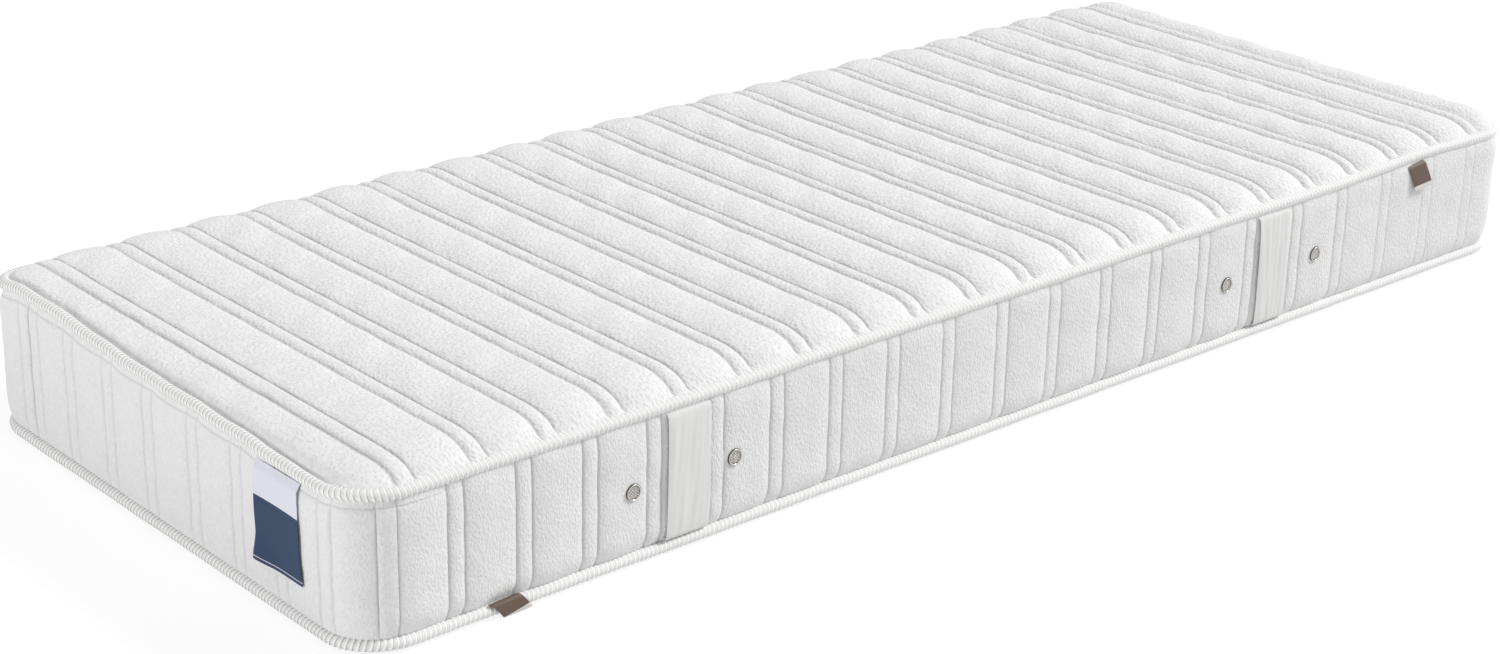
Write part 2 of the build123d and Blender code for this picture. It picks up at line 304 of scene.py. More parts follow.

# %% [markdown]
# The binding tape is woven with raised weft ribs. The ribs are real relief in the mesh, and their colour
# follows the UV map, in which each rib is one unit long: painted shade on the ground between the ribs, a
# painted highlight on each rib's crest, and a darker painted shadow just behind it.

# %% Ribbed binding tape
# Painted light along one rib: painted shade on the ground, a painted highlight on the crest, a painted shadow
# behind it.
rib_light_and_shade = [(0.0, "#e6e6e5"), (0.46, "#eeeeed"), (0.56, "#ffffff"),
             (0.78, "#ffffff"), (0.86, "#a3a19e"), (0.95, "#dfdedd")]
thread_mm = 2.0
binding, tree, shader = new_material("woven binding tape, ribbed")
uv = add_node(tree, "ShaderNodeUVMap", uv_map="cloth")
ribs_along = add_node(tree, "ShaderNodeSeparateXYZ", {"Vector": (uv, "UV")})
in_rib = add_node(tree, "ShaderNodeMath", {0: (ribs_along, "X")}, operation="FRACT")
tape_light_and_shade = add_node(tree, "ShaderNodeValToRGB", {"Fac": (in_rib, "Value")})
for place, _ in rib_light_and_shade[2:]:
    tape_light_and_shade.color_ramp.elements.new(place)
for element, (place, hex_code) in zip(tape_light_and_shade.color_ramp.elements, rib_light_and_shade):
    element.position = place
    element.color = colour(hex_code)
spot = add_node(tree, "ShaderNodeTexCoord")
thread = add_node(tree, "ShaderNodeTexNoise", {"Vector": (spot, "Object")},
                  Scale=1000 / thread_mm, Detail=2.0)
thread_bump = add_node(tree, "ShaderNodeBump", {"Height": (thread, "Fac")}, Strength=0.25, Distance=0.5 * mm)
tree.links.new(tape_light_and_shade.outputs["Color"], shader.inputs["Base Color"])
tree.links.new(thread_bump.outputs["Normal"], shader.inputs["Normal"])
set_inputs(shader, Roughness=0.7, Specular_IOR_Level=0.3)
print("tape tones:", len(tape_light_and_shade.color_ramp.elements))

# %% [markdown]
# Handles are woven webbing, matt, with fine upright threads. The foams are cut and show their open cells as
# a fine grain, and the backing is a bonded fleece. The wires and washers are plated steel, bright and
# smooth. All of these are one colour with a fine noise as relief, so one function makes them.

# %% Plain finishes
def plain_finish(name, hex_code, roughness, grain_mm, depth, metallic=0.0, stretch=(1.0, 1.0, 1.0)):
    """One-colour surface with a fine noise as bump, in object space; threads follow the stretch."""
    material, tree, shader = new_material(name)
    spot = add_node(tree, "ShaderNodeTexCoord")
    laid = add_node(tree, "ShaderNodeMapping", {"Vector": (spot, "Object")}, Scale=stretch)
    grain = add_node(tree, "ShaderNodeTexNoise", {"Vector": (laid, "Vector")},
                     Scale=1000 / grain_mm, Detail=2.0)
    bump = add_node(tree, "ShaderNodeBump", {"Height": (grain, "Fac")}, Strength=depth, Distance=0.6 * mm)
    tree.links.new(bump.outputs["Normal"], shader.inputs["Normal"])
    set_inputs(shader, Base_Color=colour(hex_code), Roughness=roughness, Metallic=metallic,
               Specular_IOR_Level=0.3)
    return material


webbing = plain_finish("woven webbing, white", "#e4e4e3", 0.85, 1.6, 0.3, stretch=(1.0, 1.0, 0.15))
nickel = plain_finish("nickel-plated steel, pressed", "#8a8784", 0.25, 4.0, 0.05, metallic=1.0)
gauze_wire = plain_finish("steel gauze, woven wire", "#dad7d4", 0.4, 4.0, 0.05, metallic=1.0)
memory_cells = plain_finish("viscoelastic foam, cut", "#f3ecd9", 0.95, 2.5, 0.6)
core_cells = plain_finish("cold foam, cut", "#e9eef2", 0.95, 3.0, 0.7)
base_cells = plain_finish("firm support foam, cut", "#d8dde2", 0.95, 2.5, 0.6)
fleece = plain_finish("non-woven backing, bonded", "#f2f2f0", 0.95, 3.0, 0.4)
print("plain finishes:", webbing.name, "to", fleece.name)

# %% [markdown]
# The label and the tags are satin ribbon with a soft gloss. Their colour changes along the ribbon's own
# length, read from the UV map, so the fields have clean edges. A vent's rim is plated: its rounded crest
# gets a painted highlight and its edges and folds painted dark reflections and shade, so the colour
# follows a value that is stored on the rim's points.

# %% Satin ribbon and vent rim
def banded_ribbon(name, bands, first, roughness):
    """Satin ribbon whose colour changes at given lengths in mm along the UV's second axis."""
    material, tree, shader = new_material(name)
    uv = add_node(tree, "ShaderNodeUVMap", uv_map="cloth")
    split = add_node(tree, "ShaderNodeSeparateXYZ", {"Vector": (uv, "UV")})
    ground = add_node(tree, "ShaderNodeRGB")
    ground.outputs[0].default_value = colour(first)
    output = (ground, 0)
    for length_mm, hex_code in bands:
        past = add_node(tree, "ShaderNodeMath", {0: (split, "Y")}, {1: length_mm * mm},
                        operation="GREATER_THAN")
        field = add_node(tree, "ShaderNodeMix", {"Factor": (past, "Value"), mix_a: output},
                         {mix_b: colour(hex_code)}, data_type="RGBA")
        output = (field, mix_out)
    tree.links.new(output[0].outputs[output[1]], shader.inputs["Base Color"])
    set_inputs(shader, Roughness=roughness, Specular_IOR_Level=0.25)
    return material


label_bands = ((40, "#243b59"), (111.2, "#e6e8ee"), (112.0, "#26385a"))
label_satin = banded_ribbon("printed satin label", label_bands, "#dfe0ea", 0.55)
ribbon = banded_ribbon("brown satin ribbon", ((-6.5, "#dcd8d5"),), "#69594f", 0.5)
# The rim's colour is painted light: a painted highlight on its crest, painted dark reflections and shade at
# its edges and in its folds.
rim_nickel, tree, shader = new_material("nickel-plated steel, painted highlight and dark reflection")
rim_highlight_value = add_node(tree, "ShaderNodeAttribute", attribute_name="crest")
rim_light_and_shade = add_node(tree, "ShaderNodeMix", {"Factor": (rim_highlight_value, "Fac")},
                 {mix_a: colour("#4a4744"), mix_b: colour("#cfccc8")}, data_type="RGBA")
tree.links.new(rim_light_and_shade.outputs[mix_out], shader.inputs["Base Color"])
set_inputs(shader, Metallic=1.0, Roughness=0.28)
print("ribbons:", label_satin.name, "and", ribbon.name)

# %% [markdown]
# ## Following the seam
# The border and the tapes run round the mattress, so they are profiles carried along the seam line. The
# line is five straight runs and four quarter circles. At arc length s each run gives its point and the
# outward direction in one formula: a straight run adds the length along its heading, an arc turns the
# heading as it goes.

# %% The seam line by arc length
quarter = 0.5 * np.pi
straight_x = seam_half_length - seam_corner
straight_y = seam_half_width - seam_corner
corner_length = quarter * seam_corner
run_lengths = np.array([straight_x, corner_length, 2 * straight_y, corner_length, 2 * straight_x,
                        corner_length, 2 * straight_y, corner_length, straight_x])
run_turns = np.array([0, 1, 0, 1, 0, 1, 0, 1, 0]) / seam_corner
run_heading = np.pi + np.array([0, 0, 1, 1, 2, 2, 3, 3, 4]) * quarter
run_corner = np.array([(0, seam_half_width), (-straight_x, seam_half_width), (-seam_half_length, straight_y),
                       (-seam_half_length, -straight_y), (-straight_x, -seam_half_width),
                       (straight_x, -seam_half_width), (seam_half_length, -straight_y),
                       (seam_half_length, straight_y), (straight_x, seam_half_width)])
run_start = np.concatenate([[0.0], np.cumsum(run_lengths)[:-1]])
perimeter = run_lengths.sum()
foot_middle = run_start[2] + straight_y
front_middle = run_start[4] + straight_x
print("perimeter", round(perimeter), "mm")


def seam_at(s):
    """Point and outward direction at arc length s, from the middle of the back, past foot, front and head."""
    s = np.mod(s, perimeter)
    run = np.clip(np.searchsorted(run_start, s, side="right") - 1, 0, len(run_start) - 1)
    along = s - run_start[run]
    turn = run_turns[run]
    start = run_heading[run]
    heading = start + turn * along
    x = np.where(turn > 0, seam_corner * (np.sin(heading) - np.sin(start)), along * np.cos(start))
    y = np.where(turn > 0, seam_corner * (np.cos(start) - np.cos(heading)), along * np.sin(start))
    point = run_corner[run] + np.stack([x, y], axis=-1)
    return point, np.stack([np.sin(heading), -np.cos(heading)], axis=-1)


# %% [markdown]
# The upper edge of a soft mattress isn't level. At the foot end it climbs to the back corner and ripples a
# little, near the head the front edge bows up, and a lazy wave runs over all of it. Panel, border and tape
# share this.

# %% Lift of the upper edge
climb_y = (-393, -293, -197, -97, 8, 117, 232, 304, 345, 393)
climb_height = (0, -2, 3, 6, 7, 10.6, 18, 18.5, 15, 6)
climb_fade = 70  # the climb dies out over this length away from the foot end
ripple_height, ripple_length = 0.9, 97
bow_height, bow_x, bow_width, bow_reach = 5.0, 770, 110, 300
wave_height, wave_length, wave_width = 0.8, 610, 520


def top_lift(x, y):
    """Lift of the upper edge: (climb(y) + sine ripple) exp(-d / fade), plus a bell bow and a cosine wave."""
    at_foot = np.exp(-np.maximum(x + seam_half_length, 0) / climb_fade)
    climb = np.interp(y, climb_y, climb_height) * at_foot
    ripple = ripple_height * np.sin(2 * np.pi * y / ripple_length + 1) * at_foot
    bow = bow_height * bell(x - bow_x, bow_width) * smooth(-y / bow_reach)
    wave = wave_height * np.cos(2 * np.pi * x / wave_length) * np.cos(2 * np.pi * y / wave_width + 1)
    return climb + ripple + bow + wave


print("highest climb", max(climb_height), "mm")

# %% [markdown]
# ## Quilting
# Each panel is sewn through in pairs of lines: a wide channel, then a narrow rib. Between two lines the
# wadding pushes the cloth up into a cushion with steep sides and a round middle; on the line itself it is
# held down.

# %% Quilting relief
narrow_limit = 40.0  # a span below this is a narrow rib
groove_shade_width = 0.9  # the painted shade along a sewn groove fades out over this distance


def lines_from_pairs(starts, rib_width):
    """Sorted line places: each pair has its first line and a second one a rib's width further."""
    return np.sort(np.concatenate([starts, starts + rib_width]))


def samples_between(lines, wide_count, narrow_count):
    """Sample places from line to line, closer together near the lines: lo + w (1 - cos pi t) / 2."""
    parts = []
    for low, high in zip(lines[:-1], lines[1:]):
        count = narrow_count if high - low < narrow_limit else wide_count
        t = np.arange(count) / count
        parts.append(low + (high - low) * 0.5 * (1 - np.cos(np.pi * t)))
    return np.concatenate(parts + [lines[-1:]])


def cushion(place, lines, wide_height, narrow_height, roundness=0.0):
    """Height over the sewn lines and the distance to the nearest one. With v = |2u - 1| across a channel,
    the height is H (r (1 - v^2) + (1 - r) (1 - v^2.1)^0.48): a round arch for the share r, else a pad."""
    span = np.clip(np.searchsorted(lines, place, side="right") - 1, 0, len(lines) - 2)
    low, high = lines[span], lines[span + 1]
    u = np.clip((place - low) / (high - low), 0, 1)
    height = np.where(high - low < narrow_limit, narrow_height, wide_height)
    v = np.abs(2 * u - 1)
    body = roundness * (1 - v**2) + (1 - roundness) * np.maximum(1 - v**2.1, 0) ** 0.48
    return height * body, np.minimum(place - low, high - place)


# %% [markdown]
# The formula gives an even cushion; real wadding fills unevenly and the cloth has a little slack. So every
# third point of the panel is also blown up for some frames as cloth: the sewn lines and the seam are
# pinned, pressure acts from inside and gravity is off. Its movement, capped, is spread back over all points
# with a cubic B-spline.

# %% Blowing up a quilted panel
def spline_weights(count, every):
    """Cubic B-spline weights from every n-th point to all points, rows summing to one."""
    place = np.arange(count)[:, None] / every
    knot = np.arange((count - 1) // every + 1)[None]
    far = np.abs(place - knot)
    weight = np.where(far < 1, 2 / 3 - far**2 + far**3 / 2, np.maximum(2 - far, 0) ** 3 / 6)
    return weight / weight.sum(axis=1, keepdims=True)


def blown_up(grid, pinned, slack, pressure, cap_mm, every=3, frames=10):
    """The grid after a cloth simulation of its every n-th point, moved by no more than the cap."""
    coarse = grid[::every, ::every]
    mesh = bpy.data.meshes.new("wadding")
    mesh.from_pydata((coarse.reshape(-1, 3) * mm).tolist(), [], grid_faces(coarse.shape[:2]).tolist())
    pad = bpy.data.objects.new("wadding", mesh)
    bpy.context.scene.collection.objects.link(pad)
    sewn = pad.vertex_groups.new(name="sewn")
    sewn.add(np.flatnonzero(pinned[::every, ::every]).tolist(), 1.0, "REPLACE")
    modifier = pad.modifiers.new("wadding", "CLOTH")
    cloth = modifier.settings
    cloth.vertex_group_mass = sewn.name
    cloth.quality = 3
    cloth.mass = 0.2
    cloth.tension_stiffness = cloth.compression_stiffness = 12.0
    cloth.shear_stiffness = 4.0
    cloth.bending_stiffness = 0.3
    cloth.shrink_min = -slack
    cloth.use_pressure = True
    cloth.uniform_pressure_force = pressure
    cloth.effector_weights.gravity = 0.0
    modifier.collision_settings.use_collision = False
    modifier.point_cache.frame_end = frames
    for step in range(1, frames + 1):
        bpy.context.scene.frame_set(step)
    swollen = np.zeros(coarse.size, dtype=np.float32)
    pad.evaluated_get(bpy.context.evaluated_depsgraph_get()).data.vertices.foreach_get("co", swollen)
    bpy.context.scene.frame_set(1)
    bpy.data.objects.remove(pad)
    moved = 1000.0 * swollen.reshape(coarse.shape) - coarse
    length = np.maximum(np.linalg.norm(moved, axis=-1, keepdims=True), 1e-9)
    moved *= np.tanh(length / cap_mm) * cap_mm / length
    print("blown up by", round(float(length.max()), 2), "mm, capped at", cap_mm)
    spread = np.einsum("ik,kjc->ijc", spline_weights(grid.shape[0], every), moved)
    return grid + np.einsum("jk,ikc->ijc", spline_weights(grid.shape[1], every), spread)


# %% [markdown]
# ## Top panel
# The panel is a grid whose rows run along the sewn lines, across the width. Its channels could come from a
# bump map, but only real relief shows at the outline, and a formula keeps every line where it is sewn. A
# row's half width follows the rounded corners, so the grid's edge is the seam line. The height is a quarter
# ellipse over the distance to that edge, which gives the rolled shoulder, and the quilting then pulls the
# cloth in along its normal.

# %% Panel outline and grid
def row_half_width(x):
    """Half width of the seam outline at x: full, then falling along the corner circle."""
    over = np.clip(np.abs(x) - straight_x, 0, seam_corner)
    return straight_y + np.sqrt(np.maximum(seam_corner**2 - over**2, 0))


def edge_distance(x, y):
    """Distance inwards from the rounded outline, not below 0."""
    qx = np.abs(x) - straight_x
    qy = np.abs(y) - straight_y
    outside = np.hypot(np.maximum(qx, 0), np.maximum(qy, 0))
    return np.maximum(seam_corner - outside - np.minimum(np.maximum(qx, qy), 0), 0)


def panel_grid(lines, wide_count, narrow_count, end_count, across_count, shoulder, shoulder_count):
    """x and y of the panel's grid: cosine steps in the end rows and over both shoulders."""
    middle = samples_between(lines, wide_count, narrow_count)
    t = np.arange(end_count) / end_count
    foot = -seam_half_length + (lines[0] + seam_half_length) * (1 - np.cos(quarter * t))
    head = seam_half_length - (seam_half_length - lines[-1]) * (1 - np.cos(quarter * t))
    x = np.concatenate([foot, middle, head[::-1]])
    near = shoulder * (1 - np.cos(quarter * np.arange(shoulder_count) / shoulder_count))
    flat = np.linspace(shoulder, 2 * seam_half_width - shoulder, across_count)
    across = np.concatenate([near, flat, 2 * seam_half_width - near[::-1]]) / seam_half_width - 1
    return x[:, None] + 0 * across[None], across[None] * row_half_width(x)[:, None]


def rim_loop(shape):
    """Outer loop of a grid's point numbers, anticlockwise in its rows and columns, for one closing face."""
    index = np.arange(shape[0] * shape[1]).reshape(shape)
    return np.concatenate([index[0, :], index[1:, -1], index[-1, -2::-1], index[-2:0:-1, 0]])


pair_pitch, pair_first, pair_rib, pair_count = 92.05, -936.4, 22.0, 21
top_lines = lines_from_pairs(pair_first + pair_pitch * np.arange(pair_count), pair_rib)
past_edge = 20  # the outer channels run past the edge, so no line falls on the seam
panel_spans = np.concatenate([[-seam_half_length - past_edge], top_lines, [seam_half_length + past_edge]])
grid_x, grid_y = panel_grid(top_lines, wide_count=15, narrow_count=6, end_count=15, across_count=85,
                            shoulder=top_shoulder, shoulder_count=15)
print("top panel grid", grid_x.shape, "lines", len(top_lines))

# %% [markdown]
# The shoulder is wider at the foot end, so two distances are blended softly as (a^-4 + b^-4)^(-1/4) before
# the quarter ellipse sqrt(1 - (1 - t)^2). Next to the tape the cloth dips into a crevice, deepest along the
# foot.

# %% Rolled edge of the top panel
crevice_in, crevice_width, crevice_depth, crevice_at_foot = 7, 5, 2.0, 6.0
inward = edge_distance(grid_x, grid_y)
from_foot = np.maximum(grid_x + seam_half_length, 1e-6) / foot_shoulder
from_rim = np.maximum(inward, 1e-6) / top_shoulder
roll_over = np.clip((from_foot**-4 + from_rim**-4) ** -0.25, 0, 1)
arch = np.sqrt(np.maximum(1 - (1 - roll_over) ** 2, 0))
foot_end = smooth((-grid_x - straight_x + 20) / 60)  # 1 along the foot edge, fading inwards
foot_end = foot_end * smooth((grid_y + 400) / 150) * smooth((385 - grid_y) / 90)  # and before its corners
crevice = (crevice_depth + crevice_at_foot * foot_end) * bell(inward - crevice_in, crevice_width)
grid_z = top_seam_z + top_rise * arch + top_lift(grid_x, grid_y) * (1 - arch) - crevice
crest = np.stack([grid_x, grid_y, grid_z], axis=-1)
print("top panel from", round(float(grid_z.min()), 1), "to", round(float(grid_z.max()), 1), "mm high")

# %% [markdown]
# The quilting is held flat near the seam. It is deeper towards the head and shallower along the back edge,
# as in the photograph. Soft unevenness of the wadding fades out at the sewn lines.

# %% Quilted top panel
top_relief, top_rib_relief = 7.2, 3.9
depth_middle, depth_slope, back_loss = 1.22, 0.3, 0.35
uneven_height, uneven_length = 0.5, 60
puff, line_gap = cushion(grid_x, panel_spans, top_relief, top_rib_relief, roundness=0.5)
held = smooth(0.25 + inward / 14)  # flatter at the seam, full from 10 mm inside it
deeper = depth_middle + depth_slope * grid_x / seam_half_length
deeper = deeper * (1 - back_loss * smooth((grid_y - 230) / 130))
sink = (top_relief - puff) * held * deeper
uneven = uneven_height * wander(grid_x, grid_y, uneven_length) * held * smooth(line_gap / 12)
top_points = crest - normals_of(crest) * (sink - uneven)[..., None]
sewn_down = (line_gap < 0.5) | (inward < 6)
top_points = blown_up(top_points, sewn_down, slack=0.012, pressure=4.0, cap_mm=1.2)
top_faces = grid_faces(crest.shape[:2]).tolist() + [rim_loop(crest.shape[:2]).tolist()]
# Painted shade along the sewn grooves is stored on the points.
top_panel = add_piece("quilted_top_panel", top_points, top_faces, top_jersey,
                      cloth=np.stack([grid_x, grid_y], axis=-1),
                      values={"groove_shade": bell(line_gap, groove_shade_width)})
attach(top_panel, "mattress")
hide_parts("top_panel_ticking", "top_panel_wadding")

# %% [markdown]
# ## Border
# The border is one long quilted strip carried round the seam line. A curve modifier could bend a flat strip
# round, but here each point knows its length along the seam, so lines, vents and tag are placed by it. On
# the front and the foot end the pairs of lines stand where the photograph has them; the other two sides
# have an even pitch.

# %% Border places along the strip
even_pitch, border_rib = 92.0, 21.0
number = np.arange(-1, 22)
front_pairs = -882 + 88.3 * number + 0.235 * number**2  # x of each pair; the pitch grows slowly to the head
front_pairs = front_pairs[front_pairs < straight_x + 60]
front_pairs[0] += 6
foot_pairs = np.array([282, 200, 112, 24, -71, -160, -245, -327.0])  # y of each pair
ring_pairs = np.concatenate([
    np.arange(40.0, run_start[2] + 40, even_pitch),
    foot_middle - foot_pairs,
    front_middle + front_pairs,
    np.arange(front_middle + straight_x + 150, perimeter - 60, even_pitch),
])
border_lines = lines_from_pairs(ring_pairs, border_rib)
border_lines = np.concatenate([border_lines, [border_lines[0] + perimeter]])
border_s = samples_between(border_lines, 14, 7)[:-1]
print("border pairs", len(ring_pairs), "samples", len(border_s))

# %% [markdown]
# The strip's section is the barrel of the solid: an arc that draws it in at each seam, and upright between.
# Its points lie closer together near the seams, where the cloth bends, and the strip rises with the lift of
# the upper edge.

# %% Border section
border_height = border_high - border_low
border_radius = (border_curve**2 + border_draw_in**2) / (2 * border_draw_in)
near_seam = np.array((0, 2, 4.5, 7.5, 10.5, 11.8, 12.4, 13, 13.6, 14.2, 15.5, 18, 22))
low_part = np.concatenate([near_seam, np.linspace(29, 83, 7)])
border_h = np.concatenate([low_part, border_height - low_part[::-1]])
s_grid, h_grid = np.meshgrid(border_s, border_h, indexing="ij")
from_seam = np.minimum(h_grid, border_height - h_grid)
seam_point, outward = seam_at(s_grid)
seam_x, seam_y = seam_point[..., 0], seam_point[..., 1]
lift = top_lift(seam_x, seam_y) * h_grid / border_height
at_foot = smooth((60 - seam_half_length - seam_x) / 30)
curl = border_radius - np.sqrt(border_radius**2 - np.maximum(border_curve - from_seam, 0) ** 2)
curl *= 1 - 0.6 * (1 - at_foot) * smooth((h_grid - 90) / 20)  # under the top tape the long sides stay fuller
print("border grid", s_grid.shape, "section radius", round(border_radius, 1), "mm")

# %% [markdown]
# The same cushion formula gives the border its upright ribs. Their relief differs along it: strong at the
# foot end, fading along the front towards the head. Each vent presses the wadding flat round it, and the
# lower tag dents it. At the foot the cloth turns up above the lower tape, and a sewn fold runs below the
# upper one there and round the near corner.

# %% Quilted border
border_relief, border_rib_relief = 4.3, 2.6
pucker_height, pucker_length = 0.5, 55
fold_depth, fold_below, fold_width = 0.9, 13, 0.9
turn_up_out, turn_up_h, turn_up_width = 1.4, 9, 3.5
vent_x = (-636.0, -489.0, 366.0, 550.0)
vent_z, vent_press = 94.0, 0.8
tag_x, tag_reach, tag_dent_depth = -813.0, 26, 2.4
corner_x = -975
puff, line_gap = cushion(s_grid, border_lines, border_relief, border_rib_relief)
held = smooth(0.2 * (1 - at_foot) + from_seam / (16 + 10 * at_foot))  # flatter at both seams
from_vent = np.full(s_grid.shape, 1e3)
for x_vent in vent_x:
    for s_vent in (front_middle + x_vent, np.mod(-x_vent, perimeter)):
        from_vent = np.minimum(from_vent, np.hypot(s_grid - s_vent, border_low + h_grid - vent_z))
pressed = smooth(1.6 - from_vent / 16)  # 1 within 10 mm of a vent, 0 past 26 mm
at_head = 0.4 * smooth((seam_x + 650) / 500) + 0.6 * smooth((seam_x - 450) / 400)
at_head *= outward[..., 1] < -0.5  # on the front only, in two steps
at_corner = smooth(1.6 - np.abs(s_grid - front_middle - corner_x) / 40)  # the near corner
strength = 1 + 0.25 * at_foot - 0.75 * at_head - 0.3 * at_corner
sink = (border_relief - puff) * strength * held * (1 - pressed) + vent_press * pressed
pucker = pucker_height * wander(s_grid, h_grid, pucker_length) * held * (1 - pressed)
turn_up = turn_up_out * bell(h_grid - turn_up_h, turn_up_width) * at_foot
fold = fold_depth * bell(border_height - h_grid - fold_below, fold_width)
fold *= np.maximum(at_foot, smooth((-840 - seam_x) / 90) * (seam_y < 0))
beside_tag = (s_grid - front_middle - tag_x) / tag_reach
tag_dent = tag_dent_depth * np.exp(-beside_tag**4 - ((h_grid - 10) / 12) ** 2)
out = bead_radius - curl - sink + pucker - fold + turn_up - tag_dent
border_points = np.concatenate([seam_point + outward * out[..., None],
                                (border_low + h_grid + lift)[..., None]], axis=-1)
# Painted shade along the sewn grooves and in the sewn fold, weaker where the relief is weaker.
border_groove_shade = bell(line_gap, groove_shade_width) * (1 - 0.4 * at_foot - 0.6 * at_head)
border_faces = grid_faces(s_grid.shape, wrap_u=True)
border_piece = add_piece("quilted_border", border_points, border_faces, border_jersey,
                         cloth=np.stack([s_grid, h_grid], axis=-1), ring=perimeter,
                         values={"groove_shade": np.maximum(border_groove_shade, 0.8 * fold)})
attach(border_piece, "mattress")
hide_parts("border_ticking", "border_wadding")

# %% [markdown]
# ## Binding tapes
# A tape is a tube carried round the seam line. Its weft ribs are narrow ridges about 6.4 mm apart, slanted
# a little because the tape is pulled while it is sewn. They could be many small copies on a curve; one
# closed surface is lighter and follows the corners by itself. Each ridge is a bell curve along the length.

# %% Ribbed beads
rib_mm, points_per_rib, points_around = 6.4, 6, 14
ridge_height, ridge_middle, ridge_width = 0.9, 0.67, 0.18  # height in mm, the rest as shares of a rib
ground_drop, tape_uneven = 0.6, 0.25


def binding_tape(name, seam_z, lean, node, lifted):
    """Tube of radius r + ridge round the seam line; ridge = bell of the place within one rib's length."""
    ribs = int(round(perimeter / rib_mm))
    s = np.arange(ribs * points_per_rib) * perimeter / (ribs * points_per_rib)
    theta = np.arange(points_around) * 2 * np.pi / points_around
    s_grid, t_grid = np.meshgrid(s, theta, indexing="ij")
    turned_s = s_grid * ribs / perimeter + lean * np.sin(t_grid)
    ridge = bell(np.mod(turned_s, 1.0) - ridge_middle, ridge_width)
    point, outward = seam_at(s_grid)
    radius = bead_radius - ground_drop + ridge_height * ridge + tape_uneven * wander(s_grid, t_grid * 9, 140)
    out = radius * np.cos(t_grid)
    z = seam_z + radius * np.sin(t_grid) + lifted * top_lift(point[..., 0], point[..., 1])
    points = np.concatenate([point + outward * out[..., None], z[..., None]], axis=-1)
    cloth = np.stack([turned_s / mm, t_grid], axis=-1)
    faces = grid_faces(s_grid.shape, wrap_u=True, wrap_v=True)
    piece = add_piece(name, points, faces, binding, cloth=cloth, ring=ribs / mm)
    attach(piece, "mattress")
    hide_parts(node)


binding_tape("ribbed_top_tape", top_seam_z, 0.25, "top_binding_tape", 1.0)
binding_tape("ribbed_bottom_tape", bottom_seam_z, -0.25, "bottom_binding_tape", 0.0)

# %% [markdown]
# ## Bottom panel
# The underside is the same quilted cloth, but it carries the weight, so it is pressed flat and the sewn
# lines are only shallow grooves. Its edge turns up into the lower seam within 14 mm.

# %% Bottom panel
low_shoulder = 14.0
low_relief, low_rib_relief = 2.2, 1.4
low_x, low_y = panel_grid(top_lines, wide_count=8, narrow_count=4, end_count=8, across_count=50,
                          shoulder=low_shoulder, shoulder_count=8)
low_in = edge_distance(low_x, low_y)
low_arch = np.sqrt(np.maximum(1 - (1 - np.clip(low_in / low_shoulder, 0, 1)) ** 2, 0))
low_puff, low_gap = cushion(low_x, panel_spans, low_relief, low_rib_relief)
low_held = smooth((low_in - low_shoulder) / 25)
low_z = bottom_seam_z * (1 - low_arch) + (low_relief - low_puff) * low_held
low_points = np.stack([low_x, low_y, low_z], axis=-1)
low_faces = grid_faces(low_x.shape)[:, ::-1].tolist() + [rim_loop(low_x.shape)[::-1].tolist()]
# Painted shade along the shallow sewn grooves, fading towards the edge.
bottom_panel = add_piece("quilted_bottom_panel", low_points, low_faces, border_jersey,
                         cloth=np.stack([low_x, low_y], axis=-1),
                         values={"groove_shade": bell(low_gap, 1.2) * low_held})
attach(bottom_panel, "mattress")
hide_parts("bottom_panel_ticking", "bottom_panel_wadding")

# %% [markdown]
# ## Handles, label and tags
# These are strips of cloth caught in a seam at one or both ends. Each is drawn as its middle surface, a
# grid of points down its length and across its width, and then given its thickness on both sides along the
# normal, with the edges closed. A Solidify modifier would do nearly the same; here the strip also thins at
# its two edges, as pressed ribbon does.

# %% Strips of cloth
def along_line(stations, count):
    """Points evenly spaced by length along a polyline of (out, z) stations, with the length at each."""
    stations = np.array(stations, float)
    length = np.concatenate([[0], np.cumsum(np.hypot(*np.diff(stations, axis=0).T))])
    even = np.linspace(0, length[-1], count)
    return np.stack([np.interp(even, length, stations[:, 0]), np.interp(even, length, stations[:, 1])]), even


def cloth_strip(name, middle, thickness, material, cloth):
    """Closed strip around a middle surface: half a thickness to each side, the far side run backwards."""
    across = np.linspace(-1, 1, middle.shape[1])
    half = 0.5 * thickness * np.sqrt(1 - 0.9 * across**10)[None, :, None]
    normal = normals_of(middle)
    ring = np.concatenate([middle + normal * half, (middle - normal * half)[:, ::-1]], axis=1)
    both = np.concatenate([cloth, cloth[:, ::-1]], axis=1)
    shape = ring.shape[:2]
    last = (shape[0] - 1) * shape[1]
    caps = [np.arange(shape[1]).tolist(), (last + np.arange(shape[1]))[::-1].tolist()]
    return add_piece(name, ring, grid_faces(shape, wrap_v=True).tolist() + caps, material, both, sharp=50)


def on_side(side, along, out, z):
    """Points on a long side: side is -1 at the front and 1 at the back, out is measured from its face."""
    return np.stack(np.broadcast_arrays(along, side * (seam_half_width + bead_radius + out), z), axis=-1)


# %% [markdown]
# A handle is a webbing strap 62 mm wide. On the photograph its left edge stands off the border and casts a
# shadow, while its right edge lies close, so the strap is tilted a little, with faint creases down its
# length.

# %% Handle straps
grip_low, grip_high = box_of("handle_front_foot_grip")
strap_width, mid_z = grip_high[0] - grip_low[0], 0.5 * (grip_low[2] + grip_high[2])
strap_thickness, strap_stand = 1.6, 3.2
valley_out, valley_z = -4.5, 172.9  # the valley between tape and border, where cloth is sewn in
strap_half = [(valley_out, valley_z), (-0.8, 171.5), (0.7, 166.5), (1.8, 158.0),
              (2.6, 143.0), (3.1, 122.0), (strap_stand, 105.0)]
strap_stations = strap_half + [(o, 2 * mid_z - z) for o, z in strap_half[::-1]]
press_in, tilt = 0.9, 0.7
crease_depth, crease_width, crease_stretch = 0.35, 13, 0.12


